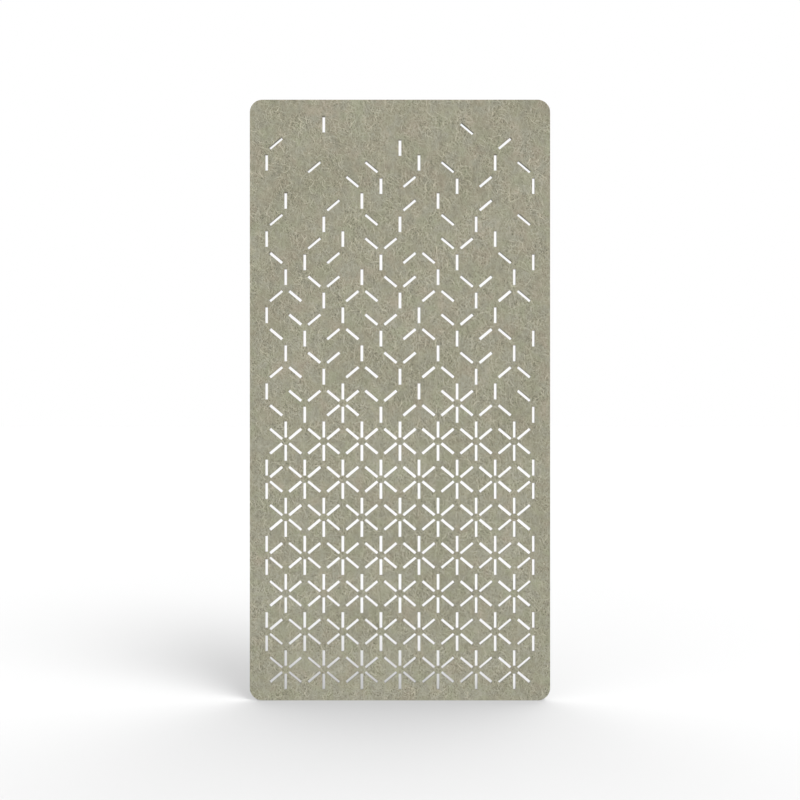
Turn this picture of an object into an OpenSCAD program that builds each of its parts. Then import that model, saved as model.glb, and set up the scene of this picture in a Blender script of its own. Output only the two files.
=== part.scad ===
// Hanging room divider panel: one stiff felt board, cut through with a lattice of six-armed stars whose
// arms thin out towards the top, and two threaded inserts sunk in its top edge.
// Millimetres. The origin is the middle of the top edge, +Z is up and the front faces -Y.

/* [Board] */
// Width of the board, side to side
board_w = 1200; // [900:10:1500]
// Height of the board
board_h = 2400; // [1500:10:3000]
// Thickness of the felt
board_t = 12; // [12:1:24]
// Radius of the board's four corners
corner_r = 50; // [5:5:60]

/* [Star lattice] */
// Distance between the stars of one row, and from one row to the next
star_pitch = 152.4; // [150:0.2:170]
// Height of the lowest row's centres above the bottom edge
first_row_z = 121; // [110:1:200]
// Least uncut felt left between the end column of slots and the board's side
side_band = 60; // [50:1:120]
// Least uncut felt left between the highest slots and the top edge
top_band = 60; // [50:1:120]

/* [Slots] */
// Length of a slot
slot_l = 64; // [40:1:67]
// Width of a slot
slot_w = 11; // [4:0.5:13]
// From a star's centre to the middle of its upright slots
upright_reach = 46.7; // [45:0.1:48]
// Height of a slanted slot's middle above or below its star's centre
slant_reach_z = 29.1; // [28:0.1:31]
// Lean of the slanted slots from the horizontal
slant_lean = 40; // [37:0.5:42]

/* [Hang inserts] */
// Distance between the two inserts
insert_spacing = 800; // [300:10:1000]
// Length of an insert below the top edge
insert_l = 30; // [24:1:40]
// Diameter of an insert's body between its barbs
insert_body_d = 6.6; // [6.2:0.1:7.4]
// Core diameter of the insert's thread, drawn plain: 4.2 for M5
thread_d = 4.2; // [3.3:0.1:5]
// Length of the thread
thread_l = 24; // [12:1:26]
// Diameter of the collar that sits flush in the top edge
collar_d = 9.5; // [8.4:0.1:10]
// Thickness of the collar
collar_t = 1.2; // [0.8:0.1:2]
// Number of ring barbs
barb_count = 6; // [3:1:8]
// How far the barbs stand out from the body
barb_h = 0.7; // [0.4:0.05:0.9]

/* [Fits] */
// Film of glue between an insert's body and its hole
glue_film = 0.2; // [0.05:0.05:0.3]
// Gap around the collar
collar_gap = 0.1; // [0.05:0.05:0.3]
// Free depth left under an insert
end_gap = 1; // [0.5:0.5:3]

/* [Hidden] */
felt_colour = "#a09e8c";
steel_colour = "#b9bcc0";
$fn = 96;
// How far a cutting shape runs past the face that it opens
overcut = 1;
// The share of a barb's pitch that its slope takes up
barb_share = 0.7;

// Stars stand on every second column of a grid of half pitches, staggered from row to row
column_pitch = star_pitch / 2;
end_column = floor((board_w / 2 - side_band) / column_pitch);
slant_reach_x = column_pitch / 2;
highest_row_z = board_h - top_band - slot_l / 2 - upright_reach;
last_row = floor((highest_row_z - first_row_z) / star_pitch);

// Each arm of a star: its letter, the middle of its slot and the slot's lean
ARMS = [
    ["U", [0, upright_reach], 90],
    ["D", [0, -upright_reach], 90],
    ["A", [-slant_reach_x, slant_reach_z], -slant_lean],
    ["B", [slant_reach_x, slant_reach_z], slant_lean],
    ["C", [-slant_reach_x, -slant_reach_z], slant_lean],
    ["E", [slant_reach_x, -slant_reach_z], -slant_lean],
];
WHOLE = "UDABCE";
// Half stars that point up and down take turns where the pattern starts to open
UP = "UCE";
DOWN = "DAB";
// The rows above the whole ones, from the lowest: the arms that each star keeps, left to right
THINNED = [
    [UP, DOWN, WHOLE, DOWN, UP, WHOLE, UP, DOWN],
    [UP, DOWN, UP, DOWN, UP, DOWN, UP],
    [UP, DOWN, UP, DOWN, UP, DOWN, UP, "D"],
    [UP, DOWN, UP, DOWN, UP, DOWN, UP],
    ["UE", "DB", "UC", DOWN, "CE", DOWN, "UE", "D"],
    ["UC", "DB", "UE", "DB", "UE", "DB", "E"],
    ["U", "B", "E", "DA", "UC", "DA", "UC", "DA"],
    ["C", "U", "", "D", "", "A", "C"],
];
WHOLE_ROWS = 7;

// The arms of the star at a column and a row, both counted from the middle column and the lowest row
function arms_at(column, row) =
    row < WHOLE_ROWS ? WHOLE :
    row - WHOLE_ROWS >= len(THINNED) ? "" :
    let (list = THINNED[row - WHOLE_ROWS], place = floor((column + len(list)) / 2))
    place < 0 || place >= len(list) ? "" : list[place];

function has(letters, letter) = len(search(letter, letters)) > 0;

insert_hole_d = insert_body_d + 2 * glue_film;
barb_pitch = (insert_l - collar_t) / (barb_count + 1);
barb_len = barb_share * barb_pitch;

module outline() {
    inner_w = board_w - 2 * corner_r;
    inner_h = board_h - 2 * corner_r;
    translate([-inner_w / 2, 0]) square([inner_w, board_h]);
    translate([-board_w / 2, corner_r]) square([board_w, inner_h]);
    for (x = [-inner_w / 2, inner_w / 2], z = [corner_r, corner_r + inner_h])
        translate([x, z]) circle(corner_r);
}

// The slots of one star, without those past the end columns
module star(column, row) {
    x = column * column_pitch;
    reach = end_column * column_pitch + slant_reach_x / 2;
    translate([x, first_row_z + row * star_pitch])
        for (arm = ARMS)
            if (has(arms_at(column, row), arm[0]) && abs(x + arm[1][0]) < reach)
                translate(arm[1]) rotate(arm[2]) square([slot_l, slot_w], center = true);
}

module lattice() {
    for (row = [0 : last_row], column = [-end_column : end_column])
        if ((row + column) % 2 == 0) star(column, row);
}

module insert_hole() {
    translate([0, 0, -insert_l - end_gap]) cylinder(d = insert_hole_d, h = insert_l + end_gap + overcut);
    translate([0, 0, -collar_t]) cylinder(d = collar_d + 2 * collar_gap, h = collar_t + overcut);
}

module felt_board() {
    color(felt_colour)
        difference() {
            translate([0, board_t / 2, -board_h])
                rotate([90, 0, 0])
                    linear_extrude(board_t)
                        difference() {
                            outline();
                            lattice();
                        }
            for (x = [-insert_spacing / 2, insert_spacing / 2])
                translate([x, 0, 0]) insert_hole();
        }
}

// A barb slopes in downwards, the way it is pressed in, and its flat shoulder above holds it there
module barb() {
    rotate_extrude()
        polygon([
            [0, 0],
            [insert_body_d / 2, 0],
            [insert_body_d / 2 + barb_h, barb_len],
            [0, barb_len],
        ]);
}

module hang_insert(x) {
    color(steel_colour)
        translate([x, 0, 0])
            difference() {
                union() {
                    translate([0, 0, -insert_l]) cylinder(d = insert_body_d, h = insert_l);
                    translate([0, 0, -collar_t]) cylinder(d = collar_d, h = collar_t);
                    for (i = [0 : barb_count - 1])
                        translate([0, 0, -insert_l + (i + 0.5) * barb_pitch]) barb();
                }
                translate([0, 0, -thread_l]) cylinder(d = thread_d, h = thread_l + overcut);
            }
}

module hang_insert_left() { hang_insert(-insert_spacing / 2); }

module hang_insert_right() { hang_insert(insert_spacing / 2); }

felt_board();
hang_insert_left();
hang_insert_right();
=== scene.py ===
"""Looks for the hanging room divider panel: a felt board with softened edges and marled felt, the steel
inserts in its top edge, and the pale studio and camera of the photograph. Metres; the front faces -Y."""
import math

import bmesh
import bpy
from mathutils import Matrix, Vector


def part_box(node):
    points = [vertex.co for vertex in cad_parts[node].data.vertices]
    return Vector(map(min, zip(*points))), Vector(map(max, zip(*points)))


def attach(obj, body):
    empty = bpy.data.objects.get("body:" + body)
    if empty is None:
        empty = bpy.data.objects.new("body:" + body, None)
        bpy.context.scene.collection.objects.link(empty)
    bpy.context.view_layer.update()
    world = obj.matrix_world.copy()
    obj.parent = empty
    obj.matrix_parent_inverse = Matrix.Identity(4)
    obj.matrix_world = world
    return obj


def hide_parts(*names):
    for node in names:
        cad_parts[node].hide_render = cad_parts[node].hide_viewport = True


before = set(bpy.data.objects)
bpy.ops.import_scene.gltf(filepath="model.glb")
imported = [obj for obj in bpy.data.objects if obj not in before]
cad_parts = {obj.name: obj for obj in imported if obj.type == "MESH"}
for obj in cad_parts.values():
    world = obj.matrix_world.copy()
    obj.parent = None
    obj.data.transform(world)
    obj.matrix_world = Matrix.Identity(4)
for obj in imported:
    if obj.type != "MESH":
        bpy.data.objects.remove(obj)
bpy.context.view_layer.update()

MM = 0.001
BOARD_LOW, BOARD_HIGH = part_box("felt_board")
FLOOR_Z = BOARD_LOW.z
FRONT_Y = BOARD_LOW.y
FACE_CENTRE = (BOARD_LOW + BOARD_HIGH) / 2

# The photograph: its size, where its optical axis falls, and the board's outline in it, in pixels
PHOTO_SIDE = 800
OPTICAL_AXIS_PX = (387.9, 411.0)
BOARD_LEFT_PX, BOARD_RIGHT_PX = 249.81, 550.17
BOARD_TOP_PX, BOARD_BOTTOM_PX = 99.31, 700.7
SENSOR_MM = 36
# The photograph gives only the ratio of the board's thickness to the camera's distance, so this distance
# follows from the thickness that the CAD model was given, and is no measurement
CAMERA_DISTANCE = 3.53
CAMERA_REACH = 200

# Softening of the felt's cut edges
EDGE_SOFTNESS = 0.4 * MM
EDGE_SEGMENTS = 2
# Points of the CAD mesh nearer than this are one, and faces within this angle are one flat face
MERGE_DISTANCE = 0.01 * MM
FLAT_ANGLE = math.radians(0.5)
# How squarely a face of the board's mesh must look forwards or back to be one of its two faces
FACE_NORMAL = 0.99

# The way that the felt's mat is combed, and how far off the back's stretch of the mix is taken, in metres
COMBING_ANGLE = math.radians(-15)
BACK_SHIFT = 7.0
# The felt's face mix fades into its cut look between these two values of the normal
CUT_NORMAL, WHOLE_FACE_NORMAL = 0.4, 0.95

# Half the floor's side, in metres, and the share of light that it throws back
FLOOR_REACH = 60
FLOOR_WHITENESS = 0.75

# The sockets of a Mix node that mixes colours
MIX_SHARE, MIX_A, MIX_B = 0, 6, 7
MIX_RESULT = 2


# ---------------------------------------------------------------- node helpers


def put(tree, socket, value):
    """Sets a socket to a value, or links another socket to it."""
    if isinstance(value, bpy.types.NodeSocket):
        tree.links.new(value, socket)
    else:
        socket.default_value = value


def add_node(tree, kind, inputs=None, **settings):
    """A new node with its settings, and its sockets set to values or linked to other sockets."""
    node = tree.nodes.new(kind)
    for name, value in settings.items():
        setattr(node, name, value)
    for name, value in (inputs or {}).items():
        put(tree, node.inputs[name], value)
    return node


def calculate(tree, operation, a, b=0.0, clamp=False):
    """One step of arithmetic on two values."""
    return add_node(tree, "ShaderNodeMath", {0: a, 1: b}, operation=operation, use_clamp=clamp).outputs[0]


def mix_colour(tree, share, a, b):
    """Colour a with a share of colour b mixed in."""
    node = add_node(tree, "ShaderNodeMix", data_type="RGBA", blend_type="MIX")
    for index, value in ((MIX_SHARE, share), (MIX_A, a), (MIX_B, b)):
        put(tree, node.inputs[index], value)
    return node.outputs[MIX_RESULT]


def ramp(tree, value, low, high, at_low=0.0, at_high=1.0, smooth=False):
    """The value, spread so that low gives at_low and high gives at_high, and held level beyond them."""
    inputs = {"Value": value, "From Min": low, "From Max": high, "To Min": at_low, "To Max": at_high}
    kind = "SMOOTHSTEP" if smooth else "LINEAR"
    return add_node(tree, "ShaderNodeMapRange", inputs, interpolation_type=kind).outputs["Result"]


def new_group(name, inputs, outputs):
    """An empty node group with its inputs (name, kind, default) and outputs (name, kind)."""
    group = bpy.data.node_groups.new(name, "ShaderNodeTree")
    for label, kind, default in inputs:
        socket = group.interface.new_socket(label, in_out="INPUT", socket_type=kind)
        if default is not None:
            socket.default_value = default
    for label, kind in outputs:
        group.interface.new_socket(label, in_out="OUTPUT", socket_type=kind)
    return group, group.nodes.new("NodeGroupInput"), group.nodes.new("NodeGroupOutput")


def linear(red, green, blue):
    """An sRGB colour, 0 to 255, as the linear colour that a shader takes."""
    def channel(value):
        value /= 255
        return value / 12.92 if value <= 0.04045 else ((value + 0.055) / 1.055) ** 2.4
    return channel(red), channel(green), channel(blue), 1.0


# ---------------------------------------------------------------- felt


def tufts_group():
    """One bent tuft of fine fibres in each cell of a flat grid of random cells.

    Cells is their number a metre. The half width and half length of a tuft are shares of a cell. Tufts
    lean from the level by Lean, give or take half of Spread, both in turns. Strands sets how finely a
    tuft is split along its length."""
    group, given, made = new_group(
        "felt_tufts",
        [
            ("Vector", "NodeSocketVector", None),
            ("Cells", "NodeSocketFloat", 50.0),
            ("Half Width", "NodeSocketFloat", 0.06),
            ("Half Length", "NodeSocketFloat", 0.5),
            ("Bend", "NodeSocketFloat", 0.6),
            ("Lean", "NodeSocketFloat", 0.25),
            ("Spread", "NodeSocketFloat", 0.5),
            ("Strands", "NodeSocketFloat", 2.0),
        ],
        [("Mask", "NodeSocketFloat")],
    )
    place, cells = given.outputs["Vector"], given.outputs["Cells"]
    nearest = add_node(
        group, "ShaderNodeTexVoronoi", {"Vector": place, "Scale": cells}, voronoi_dimensions="2D"
    )
    away = add_node(
        group, "ShaderNodeVectorMath", {0: place, 1: nearest.outputs["Position"]}, operation="SUBTRACT"
    )
    in_cells = add_node(
        group, "ShaderNodeVectorMath", {0: away.outputs[0], "Scale": cells}, operation="SCALE"
    )
    chance = add_node(group, "ShaderNodeSeparateColor", {"Color": nearest.outputs["Color"]})
    turned = calculate(
        group, "MULTIPLY", calculate(group, "SUBTRACT", chance.outputs["Red"], 0.5), given.outputs["Spread"]
    )
    angle = calculate(
        group, "MULTIPLY", calculate(group, "ADD", turned, given.outputs["Lean"]), -2 * math.pi
    )
    level = add_node(
        group,
        "ShaderNodeVectorRotate",
        {"Vector": in_cells.outputs[0], "Angle": angle},
        rotation_type="Z_AXIS",
    )
    split = add_node(group, "ShaderNodeSeparateXYZ", {"Vector": level.outputs["Vector"]})
    along = split.outputs["X"]
    bend = calculate(
        group, "MULTIPLY", calculate(group, "SUBTRACT", chance.outputs["Green"], 0.5), given.outputs["Bend"]
    )
    sideways = calculate(group, "MULTIPLY", bend, calculate(group, "MULTIPLY", along, along))
    across = calculate(group, "ADD", split.outputs["Y"], sideways)
    body = ramp(
        group, calculate(group, "ABSOLUTE", across), 0.0, given.outputs["Half Width"], 1.0, 0.0, smooth=True
    )
    ends = ramp(
        group,
        calculate(group, "ABSOLUTE", along),
        calculate(group, "MULTIPLY", given.outputs["Half Length"], 0.5),
        given.outputs["Half Length"],
        1.0,
        0.0,
        smooth=True,
    )
    # Fine fibres that follow the tuft
    combed = add_node(
        group,
        "ShaderNodeCombineXYZ",
        {
            "X": calculate(group, "MULTIPLY", along, 6.0),
            "Y": calculate(
                group,
                "MULTIPLY",
                calculate(group, "DIVIDE", across, given.outputs["Half Width"]),
                given.outputs["Strands"],
            ),
            "Z": calculate(group, "MULTIPLY", chance.outputs["Blue"], 80.0),
        },
    )
    fibres = ramp(group, noise(group, combed.outputs[0], 1.0, detail=1, dimensions="3D"), 0.3, 0.7)
    weight = ramp(group, chance.outputs["Blue"], 0.0, 1.0, 0.3, 1.0)
    mask = calculate(group, "MULTIPLY", calculate(group, "MULTIPLY", body, ends), weight)
    mask = calculate(group, "MULTIPLY", mask, ramp(group, fibres, 0.0, 1.0, 0.4, 1.3))
    group.links.new(mask, made.inputs["Mask"])
    return group


def moved(tree, vector, shift):
    """The place, shifted so that a pattern shows another stretch of itself."""
    return add_node(tree, "ShaderNodeVectorMath", {0: vector, 1: shift}, operation="ADD").outputs[0]


def noise(tree, vector, scale, detail=0.0, roughness=0.5, dimensions="2D"):
    """Soft random values about one half."""
    inputs = {"Vector": vector, "Scale": scale, "Detail": detail, "Roughness": roughness}
    return add_node(tree, "ShaderNodeTexNoise", inputs, noise_dimensions=dimensions).outputs["Fac"]


def tufts(tree, group, vector, shift, values):
    """The mask of one layer of tufts."""
    inputs = {"Vector": moved(tree, vector, shift)} | values
    return add_node(tree, "ShaderNodeGroup", inputs, node_tree=group).outputs["Mask"]


def curl(cells, half_width, half_length, bend, strands=2.0):
    """The values of one layer of tufts that lean every way."""
    return {
        "Cells": cells,
        "Half Width": half_width,
        "Half Length": half_length,
        "Bend": bend,
        "Strands": strands,
    }


def felt_faces(tree, flat, z):
    """The colour, height and roughness of the faces: a combed mat with tufts of lighter and darker fibre."""
    colour = linear(187, 183.5, 161)
    # Broad patches of slightly different fibre, pinker towards the top and greener towards the foot
    rise = ramp(tree, z, BOARD_LOW.z, BOARD_HIGH.z, -1.0, 1.0)
    for shift, scale, tint, drift in (
        ((3, 1, 0), 8, linear(191, 182, 163), 0.03),
        ((7, 5, 0), 9, linear(183, 184, 159), -0.03),
        ((1, 6, 0), 17, linear(184, 182, 165), -0.03),
    ):
        patch = noise(tree, moved(tree, flat, shift), scale, detail=2, roughness=0.6)
        patch = calculate(tree, "ADD", patch, calculate(tree, "MULTIPLY", rise, drift))
        colour = mix_colour(tree, ramp(tree, patch, 0.42, 0.66), colour, tint)

    # Uneven mat, thinner and thicker
    combed = add_node(
        tree,
        "ShaderNodeMapping",
        {"Vector": flat, "Location": (1, 9, 0), "Rotation": (0, 0, COMBING_ANGLE), "Scale": (1, 0.6, 1)},
    ).outputs[0]
    mat = ramp(tree, noise(tree, combed, 40, detail=4, roughness=0.8), 0.3, 0.7)
    colour = mix_colour(tree, calculate(tree, "MULTIPLY", mat, 0.43), colour, linear(120, 117, 99))
    thick = ramp(tree, noise(tree, moved(tree, flat, (2, 3, 0)), 3.5, detail=5, roughness=0.7), 0.3, 0.7)
    colour = mix_colour(tree, calculate(tree, "MULTIPLY", thick, 0.3), colour, linear(120, 118, 92))

    # Tufts lie thick in some places and thin in others, with fewer long ones and more short ones at the foot
    crowd = ramp(tree, noise(tree, moved(tree, flat, (8, 8, 0)), 14, detail=2), 0.35, 0.65, 0.5, 1.45)
    long = calculate(tree, "MULTIPLY", crowd, ramp(tree, rise, -1.0, 1.0, 0.8, 1.0))
    short = calculate(tree, "MULTIPLY", crowd, ramp(tree, rise, -1.0, 1.0, 1.15, 1.0))
    height = calculate(tree, "MULTIPLY", mat, -0.5)
    group = tufts_group()
    light, dark = linear(232, 227, 203), linear(90, 86, 68)
    combed_way = {"Lean": 0.3, "Spread": 0.35}
    # Each layer: its shift, crowding, colour, share of that colour, relief (0 lies flat) and tufts
    for shift, crowding, tint, amount, relief, values in (
        ((2, 8, 0), long, dark, 0.4, 0, curl(34, 0.06, 0.6, 1.5) | combed_way),
        ((5, 3, 0), short, dark, 0.78, -0.6, curl(80, 0.22, 0.4, 0.6, 8) | combed_way),
        ((1, 5, 0), short, dark, 0.85, 0, curl(150, 0.16, 0.5, 0.6, 4)),
        ((8, 6, 0), short, dark, 0.5, 0, curl(260, 0.09, 0.6, 1.5)),
        ((6, 9, 0), short, dark, 0.4, 0, curl(620, 0.09, 0.62, 2.5)),
        ((4, 1, 0), short, light, 0.45, 0.5, curl(480, 0.08, 0.62, 2.5)),
        ((7, 2, 0), short, light, 0.4, 0.6, curl(210, 0.08, 0.62, 2.0)),
        ((6, 6, 0), long, light, 0.55, 0.6, curl(60, 0.09, 0.6, 1.5) | combed_way),
        ((3, 4, 0), long, light, 0.5, 0.6, curl(43, 0.07, 0.62, 2.0) | combed_way),
        ((4, 7, 0), long, light, 0.5, 0.6, curl(31, 0.06, 0.62, 2.5) | combed_way),
        ((9, 2, 0), long, light, 0.5, 0, curl(24, 0.06, 0.62, 2.5)),
    ):
        mask = calculate(tree, "MULTIPLY", tufts(tree, group, flat, shift, values), crowding)
        colour = mix_colour(tree, calculate(tree, "MULTIPLY", mask, amount), colour, tint)
        if relief:
            height = calculate(tree, "ADD", height, calculate(tree, "MULTIPLY", mask, relief))
    return colour, height, ramp(tree, mat, 0.0, 1.0, 0.98, 0.88)


def felt_cut(tree, place):
    """The colour and height of the cut edges: darker, with the board's thin layers showing."""
    layered = add_node(tree, "ShaderNodeMapping", {"Vector": place, "Scale": (1, 12, 1)}).outputs[0]
    layers = ramp(tree, noise(tree, layered, 60, detail=4, roughness=0.6, dimensions="3D"), 0.3, 0.7)
    ends = ramp(tree, noise(tree, place, 900, detail=1, dimensions="3D"), 0.35, 0.65)
    colour = mix_colour(tree, layers, linear(156, 152, 135), linear(184, 180, 162))
    colour = mix_colour(tree, calculate(tree, "MULTIPLY", ends, 0.35), colour, linear(118, 115, 100))
    return colour, calculate(tree, "SUBTRACT", layers, ends)


def felt_material():
    """Marled felt on both faces, and darker layered felt where the board is cut."""
    material = bpy.data.materials.new("marled_felt")
    material.use_nodes = True
    tree = material.node_tree
    shader = tree.nodes["Principled BSDF"]
    where = add_node(tree, "ShaderNodeTexCoord")
    x, y, z = add_node(tree, "ShaderNodeSeparateXYZ", {"Vector": where.outputs["Object"]}).outputs
    # The back shows another stretch of the same mix
    on_back = calculate(tree, "GREATER_THAN", y, 0.0)
    across = calculate(tree, "ADD", x, calculate(tree, "MULTIPLY", on_back, BACK_SHIFT))
    flat = add_node(tree, "ShaderNodeCombineXYZ", {"X": across, "Y": z}).outputs[0]
    face_colour, face_height, face_roughness = felt_faces(tree, flat, z)
    cut_colour, cut_height = felt_cut(tree, where.outputs["Object"])

    facing = add_node(tree, "ShaderNodeSeparateXYZ", {"Vector": where.outputs["Normal"]}).outputs["Y"]
    squareness = calculate(tree, "ABSOLUTE", facing)
    on_face = ramp(tree, squareness, CUT_NORMAL, WHOLE_FACE_NORMAL, smooth=True)
    colour = mix_colour(tree, on_face, cut_colour, face_colour)
    # The felt throws no light on the floor or back into its own slots, which fits the photograph's tones
    path = add_node(tree, "ShaderNodeLightPath")
    colour = mix_colour(tree, path.outputs["Is Diffuse Ray"], colour, (0, 0, 0, 1))
    height = ramp(tree, on_face, 0.0, 1.0, cut_height, face_height)
    bump = add_node(tree, "ShaderNodeBump", {"Height": height, "Strength": 0.6, "Distance": 0.5 * MM})
    tree.links.new(colour, shader.inputs["Base Color"])
    tree.links.new(face_roughness, shader.inputs["Roughness"])
    tree.links.new(bump.outputs["Normal"], shader.inputs["Normal"])
    shader.inputs["Specular IOR Level"].default_value = 0.2
    shader.inputs["Sheen Weight"].default_value = 0.15
    shader.inputs["Sheen Roughness"].default_value = 0.5
    return material


# ---------------------------------------------------------------- steel


def turning_group():
    """Fine turned rings about the Z axis, a mask of the bore (which the steel darkens with grease and
    painted shade), and the crests of its thread.
    """
    group, given, made = new_group(
        "turned_steel",
        [
            ("Vector", "NodeSocketVector", None),
            ("Bore Radius", "NodeSocketFloat", 2.1 * MM),
            ("Thread Pitch", "NodeSocketFloat", 0.8 * MM),
            ("Ring Spacing", "NodeSocketFloat", 0.3 * MM),
        ],
        [("Rings", "NodeSocketFloat"), ("Bore", "NodeSocketFloat"), ("Thread", "NodeSocketFloat")],
    )
    x, y, z = add_node(group, "ShaderNodeSeparateXYZ", {"Vector": given.outputs["Vector"]}).outputs
    level = add_node(group, "ShaderNodeCombineXYZ", {"X": x, "Y": y}).outputs[0]
    radius = add_node(group, "ShaderNodeVectorMath", {0: level}, operation="LENGTH").outputs["Value"]
    unevenness = noise(group, given.outputs["Vector"], 700, dimensions="3D")
    wander = calculate(group, "MULTIPLY", unevenness, 0.4 * MM)
    path = calculate(group, "ADD", calculate(group, "ADD", radius, z), wander)
    rings = calculate(group, "PINGPONG", path, given.outputs["Ring Spacing"])
    group.links.new(
        calculate(group, "DIVIDE", rings, given.outputs["Ring Spacing"]), made.inputs["Rings"]
    )
    past_bore = calculate(group, "SUBTRACT", radius, given.outputs["Bore Radius"])
    group.links.new(ramp(group, past_bore, 0.1 * MM, 0.4 * MM, 1.0, 0.0), made.inputs["Bore"])
    # Each turn of the thread climbs by one pitch
    turn = calculate(group, "DIVIDE", calculate(group, "ARCTAN2", y, x), 2 * math.pi)
    climb = calculate(group, "SUBTRACT", calculate(group, "DIVIDE", z, given.outputs["Thread Pitch"]), turn)
    group.links.new(calculate(group, "PINGPONG", climb, 0.5), made.inputs["Thread"])
    return group


def steel_material(name, group, axis_x):
    """Satin zinc-plated steel, turned about an upright axis."""
    material = bpy.data.materials.new(name)
    material.use_nodes = True
    tree = material.node_tree
    shader = tree.nodes["Principled BSDF"]
    place = add_node(tree, "ShaderNodeTexCoord").outputs["Object"]
    centred = add_node(tree, "ShaderNodeMapping", {"Vector": place, "Location": (-axis_x, 0, 0)}).outputs[0]
    turned = add_node(tree, "ShaderNodeGroup", {"Vector": centred}, node_tree=group)
    plating = ramp(tree, noise(tree, centred, 350, detail=3, dimensions="3D"), 0.35, 0.65)
    colour = mix_colour(tree, plating, linear(184, 187, 192), linear(196, 195, 190))
    # The bore is darkened partly by thread grease and partly by painted shade in the hole
    colour = mix_colour(tree, turned.outputs["Bore"], colour, linear(112, 114, 118))
    worn = calculate(tree, "MULTIPLY", turned.outputs["Rings"], 0.12)
    roughness = calculate(tree, "ADD", ramp(tree, plating, 0.0, 1.0, 0.28, 0.38), worn)
    ridges = calculate(tree, "MULTIPLY", turned.outputs["Rings"], 0.1)
    crests = calculate(tree, "MULTIPLY", turned.outputs["Thread"], turned.outputs["Bore"])
    height = calculate(tree, "ADD", ridges, crests)
    bump = add_node(tree, "ShaderNodeBump", {"Height": height, "Strength": 0.8, "Distance": 0.3 * MM})
    tree.links.new(colour, shader.inputs["Base Color"])
    tree.links.new(roughness, shader.inputs["Roughness"])
    tree.links.new(bump.outputs["Normal"], shader.inputs["Normal"])
    shader.inputs["Metallic"].default_value = 1.0
    return material


# ---------------------------------------------------------------- pieces


def build_board():
    """A copy of the board with the rims of its faces and slots softened."""
    mesh = bpy.data.meshes.new("soft_felt_board")
    bm = bmesh.new()
    bm.from_mesh(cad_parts["felt_board"].data)
    bmesh.ops.remove_doubles(bm, verts=bm.verts, dist=MERGE_DISTANCE)
    bmesh.ops.dissolve_limit(bm, angle_limit=FLAT_ANGLE, verts=bm.verts, edges=bm.edges)
    bm.normal_update()
    rims = [
        edge
        for edge in bm.edges
        if len(edge.link_faces) == 2
        and sum(abs(face.normal.y) > FACE_NORMAL for face in edge.link_faces) == 1
    ]
    bmesh.ops.bevel(
        bm,
        geom=rims,
        offset=EDGE_SOFTNESS,
        offset_type="OFFSET",
        affect="EDGES",
        segments=EDGE_SEGMENTS,
        profile=0.5,
        material=-1,
    )
    bm.to_mesh(mesh)
    bm.free()
    board = bpy.data.objects.new("soft_felt_board", mesh)
    bpy.context.scene.collection.objects.link(board)
    board.data.materials.append(felt_material())
    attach(board, "root")
    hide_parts("felt_board")


def dress_inserts():
    """Gives each steel insert of the CAD model its plated finish."""
    group = turning_group()
    for node in ("hang_insert_left", "hang_insert_right"):
        low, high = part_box(node)
        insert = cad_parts[node]
        insert.data.materials.clear()
        insert.data.materials.append(steel_material(f"plated_{node}", group, (low.x + high.x) / 2))


# ---------------------------------------------------------------- studio


def build_floor():
    """A wide white floor under the board's bottom edge, which takes its shadows."""
    bm = bmesh.new()
    bmesh.ops.create_grid(bm, x_segments=1, y_segments=1, size=FLOOR_REACH)
    bmesh.ops.translate(bm, verts=bm.verts, vec=(0, 0, FLOOR_Z))
    mesh = bpy.data.meshes.new("floor")
    bm.to_mesh(mesh)
    bm.free()
    floor = bpy.data.objects.new("floor", mesh)
    bpy.context.scene.collection.objects.link(floor)
    material = bpy.data.materials.new("white_floor")
    material.use_nodes = True
    shader = material.node_tree.nodes["Principled BSDF"]
    shader.inputs["Base Color"].default_value = (FLOOR_WHITENESS, FLOOR_WHITENESS, FLOOR_WHITENESS, 1)
    shader.inputs["Roughness"].default_value = 1.0
    shader.inputs["Specular IOR Level"].default_value = 0.0
    floor.data.materials.append(material)
    floor.visible_diffuse = False


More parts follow.
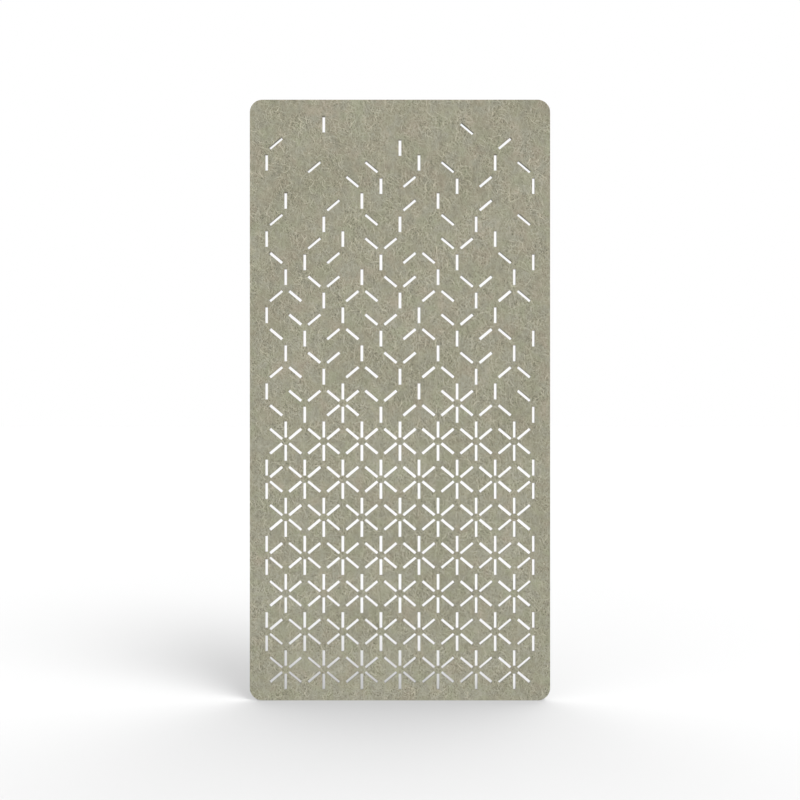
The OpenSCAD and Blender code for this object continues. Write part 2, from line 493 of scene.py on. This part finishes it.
def build_world(front, behind, right, left, below):
    """A soft dome with a broad light on each side, the front one low, and white where the camera looks."""
    world = bpy.data.worlds.new("studio")
    bpy.context.scene.world = world
    world.use_nodes = True
    tree = world.node_tree
    tree.nodes.clear()
    where = add_node(tree, "ShaderNodeTexCoord")
    split = add_node(tree, "ShaderNodeSeparateXYZ", {"Vector": where.outputs["Generated"]})
    x, y, z = split.outputs
    low = calculate(tree, "POWER", calculate(tree, "SUBTRACT", 1.0, z, clamp=True), 2.0)
    lights = (
        calculate(tree, "MULTIPLY", ramp(tree, y, -1.0, 0.0, front, 0.0), low),
        ramp(tree, y, 0.0, 1.0, 0.0, behind),
        ramp(tree, x, 0.0, 1.0, 0.0, right),
        ramp(tree, x, -1.0, 0.0, left, 0.0),
    )
    above = lights[0]
    for light in lights[1:]:
        above = calculate(tree, "ADD", above, light)
    over_floor = calculate(tree, "GREATER_THAN", z, 0.0)
    level = ramp(tree, over_floor, 0.0, 1.0, below, above)
    path = add_node(tree, "ShaderNodeLightPath")
    seen = calculate(tree, "MAXIMUM", path.outputs["Is Camera Ray"], path.outputs["Is Glossy Ray"])
    dome = add_node(tree, "ShaderNodeBackground", {"Strength": level})
    white = add_node(tree, "ShaderNodeBackground", {"Strength": 1.0})
    for background in (dome, white):
        background.inputs["Color"].default_value = (1, 1, 1, 1)
    mixed = add_node(tree, "ShaderNodeMixShader", {0: seen, 1: dome.outputs[0], 2: white.outputs[0]})
    add_node(tree, "ShaderNodeOutputWorld", {"Surface": mixed.outputs[0]})


def build_key(azimuth, elevation, strength, spread):
    """A broad soft sun. Azimuth 0 shines from the camera's side and 90 from the right."""
    lamp = bpy.data.lights.new("key", "SUN")
    lamp.energy = strength
    lamp.angle = math.radians(spread)
    key = bpy.data.objects.new("key", lamp)
    bpy.context.scene.collection.objects.link(key)
    a, e = math.radians(azimuth), math.radians(elevation)
    towards = Vector((math.sin(a) * math.cos(e), -math.cos(a) * math.cos(e), math.sin(e)))
    key.rotation_euler = towards.to_track_quat("Z", "Y").to_euler()


def build_camera():
    """Looks straight along +Y, with the photograph's optical axis, scale and framing."""
    scale = (BOARD_RIGHT_PX - BOARD_LEFT_PX) / (BOARD_HIGH.x - BOARD_LOW.x)
    middle_px = ((BOARD_LEFT_PX + BOARD_RIGHT_PX) / 2, (BOARD_TOP_PX + BOARD_BOTTOM_PX) / 2)
    camera = bpy.data.cameras.new("camera")
    camera.sensor_width = SENSOR_MM
    camera.lens = scale * CAMERA_DISTANCE / PHOTO_SIDE * SENSOR_MM
    camera.shift_x = (PHOTO_SIDE / 2 - OPTICAL_AXIS_PX[0]) / PHOTO_SIDE
    camera.shift_y = (OPTICAL_AXIS_PX[1] - PHOTO_SIDE / 2) / PHOTO_SIDE
    camera.clip_end = CAMERA_REACH
    holder = bpy.data.objects.new("camera", camera)
    holder.location = (
        FACE_CENTRE.x + (OPTICAL_AXIS_PX[0] - middle_px[0]) / scale,
        FRONT_Y - CAMERA_DISTANCE,
        FACE_CENTRE.z - (OPTICAL_AXIS_PX[1] - middle_px[1]) / scale,
    )
    holder.rotation_euler = (math.radians(90), 0, 0)
    bpy.context.scene.collection.objects.link(holder)
    bpy.context.scene.camera = holder


bpy.context.scene.view_settings.view_transform = "Standard"
build_camera()
build_board()
dress_inserts()
build_floor()
build_world(front=2.25, behind=1.13, right=2.14, left=1.22, below=0.1)
build_key(azimuth=45, elevation=55, strength=1.17, spread=30)
